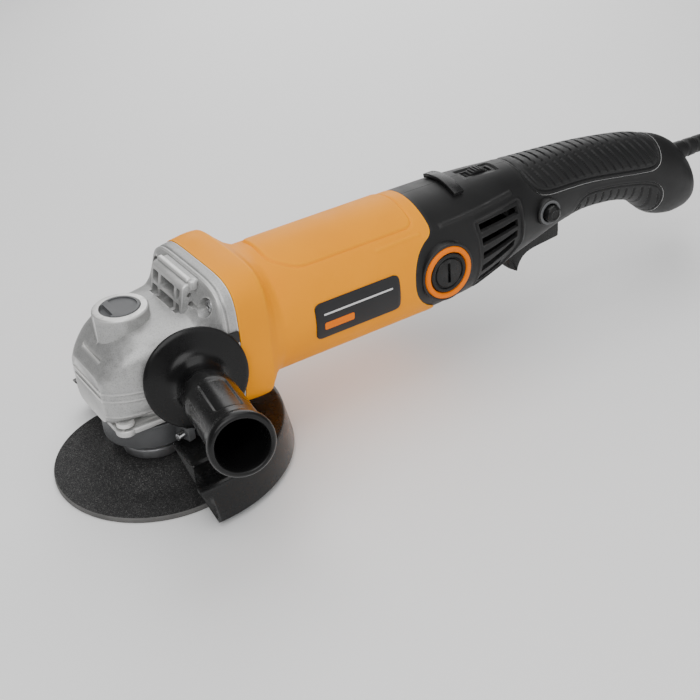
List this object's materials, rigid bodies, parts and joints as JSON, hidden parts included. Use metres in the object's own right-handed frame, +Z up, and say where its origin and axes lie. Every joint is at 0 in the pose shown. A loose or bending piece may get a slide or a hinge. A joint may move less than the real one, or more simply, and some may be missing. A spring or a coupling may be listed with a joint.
{
  "type": "angle grinder",
  "caption": "Long-handled angle grinder: cast gear head with guarded disc and side handle, cylindrical motor housing, clamshell grip with trigger, and a mains cord.",
  "frame": {"origin": "floor level, midway along and across the tool without its cord", "axes": "+X from the disc to the cord, -Y towards the side handle, +Z up, away from the disc"},
  "size_m": [0.7477, 0.2044, 0.113],
  "materials": {
    "cast_aluminium": "cast, fine speckle",
    "steel": "zinc-plated",
    "dark_steel": "blackened",
    "gear_steel": "hardened, oiled",
    "bearing_steel": "ground",
    "spring_steel": "drawn wire",
    "black_paint": "gloss black",
    "black_plastic": "gloss",
    "dark_grey_plastic": "matt",
    "satin_black_plastic": "satin",
    "yellow_plastic": "satin",
    "orange_plastic": "satin",
    "black_rubber": "soft-touch",
    "abrasive": "coarse grit in resin",
    "lamination_steel": "stacked sheet",
    "copper": "varnished copper",
    "carbon": "pressed carbon"
  },
  "bodies": {
    "tool_body": {"gear_housing": "cast_aluminium", "bearing_plate": "cast_aluminium", "head_screw_1": "steel", "head_screw_2": "steel", "head_screw_3": "steel", "head_screw_4": "steel", "plate_screw_1": "steel", "plate_screw_2": "steel", "plate_screw_3": "steel", "plate_screw_4": "steel", "shell_screw_1": "steel", "shell_screw_2": "steel", "shell_screw_3": "steel", "spindle_bearing": "bearing_steel", "front_bearing": "bearing_steel", "rear_bearing": "bearing_steel", "lock_button_spring": "spring_steel", "trigger_spring": "spring_steel", "brush_spring_left": "spring_steel", "brush_spring_right": "spring_steel", "brush_cap_left": "black_plastic", "brush_cap_right": "black_plastic", "seam_clip": "black_plastic", "rear_shell_left": "satin_black_plastic", "rear_shell_right": "satin_black_plastic", "switch_body": "satin_black_plastic", "motor_housing": "yellow_plastic", "brush_ring_left": "orange_plastic", "brush_ring_right": "orange_plastic", "grip_pad_upper": "black_rubber", "grip_pad_lower": "black_rubber", "strain_relief": "black_rubber", "cord": "black_rubber", "cord_coil": "black_rubber", "plug": "black_rubber", "stator_core": "lamination_steel", "field_coil_upper": "copper", "field_coil_lower": "copper", "carbon_brush_left": "carbon", "carbon_brush_right": "carbon"},
    "spindle_group": {"spindle": "steel", "crown_gear": "gear_steel", "inner_flange": "dark_steel", "outer_flange_nut": "dark_steel", "grinding_wheel": "abrasive"},
    "armature_group": {"armature_shaft": "steel", "armature_core": "lamination_steel", "armature_windings": "copper", "commutator": "copper", "cooling_fan": "black_plastic", "pinion": "gear_steel"},
    "guard_group": {"wheel_guard": "black_paint", "guard_band": "black_paint", "guard_screw": "steel"},
    "handle_group": {"side_handle": "black_plastic", "side_handle_stud": "steel"},
    "spindle_lock": {"spindle_lock_button": "dark_grey_plastic"},
    "trigger_group": {"trigger": "black_plastic"},
    "lock_on": {"lock_on_button": "black_plastic"},
    "dial": {"speed_dial": "black_plastic"}
  },
  "joints": [
    {"name": "spindle_spin", "type": "hinge", "parent": "tool_body", "child": "spindle_group", "pos_m": [-0.18725, 0.02557, 0.043], "axis": [0, 0, 1], "continuous": true},
    {"name": "armature_spin", "type": "hinge", "parent": "tool_body", "child": "armature_group", "pos_m": [-0.08725, 0.02557, 0.07], "axis": [1, 0, 0], "continuous": true},
    {"name": "guard_turn", "type": "hinge", "parent": "tool_body", "child": "guard_group", "pos_m": [-0.18725, 0.02557, 0.032], "axis": [0, 0, 1], "range_deg": [-135, 30]},
    {"name": "side_handle_unscrew", "type": "slide", "parent": "tool_body", "child": "handle_group", "axis": [-0.199, -0.9689, 0.1472], "range_m": [0, 0.012]},
    {"name": "spindle_lock_press", "type": "slide", "parent": "tool_body", "child": "spindle_lock", "axis": [0, 0, -1], "range_m": [0, 0.004], "stiffness_N_per_m": 900, "springref_m": -0.003, "deforming": ["lock_button_spring"]},
    {"name": "trigger_press", "type": "hinge", "parent": "tool_body", "child": "trigger_group", "pos_m": [0.06175, 0.02557, 0.057], "axis": [0, -1, 0], "range_deg": [0, 10], "stiffness_Nm_per_rad": 1.2, "springref_deg": -8.59, "deforming": ["trigger_spring"]},
    {"name": "lock_on_press", "type": "slide", "parent": "tool_body", "child": "lock_on", "axis": [0, 1, 0], "range_m": [0, 0.003], "stiffness_N_per_m": 500, "springref_m": -0.002},
    {"name": "speed_dial_turn", "type": "hinge", "parent": "tool_body", "child": "dial", "pos_m": [0.03775, 0.02557, 0.096], "axis": [0, 1, 0], "range_deg": [-140, 140]}
  ],
  "couplings": [
    {"joint": "armature_spin", "follows": "spindle_spin", "ratio": 3.2}
  ]
}
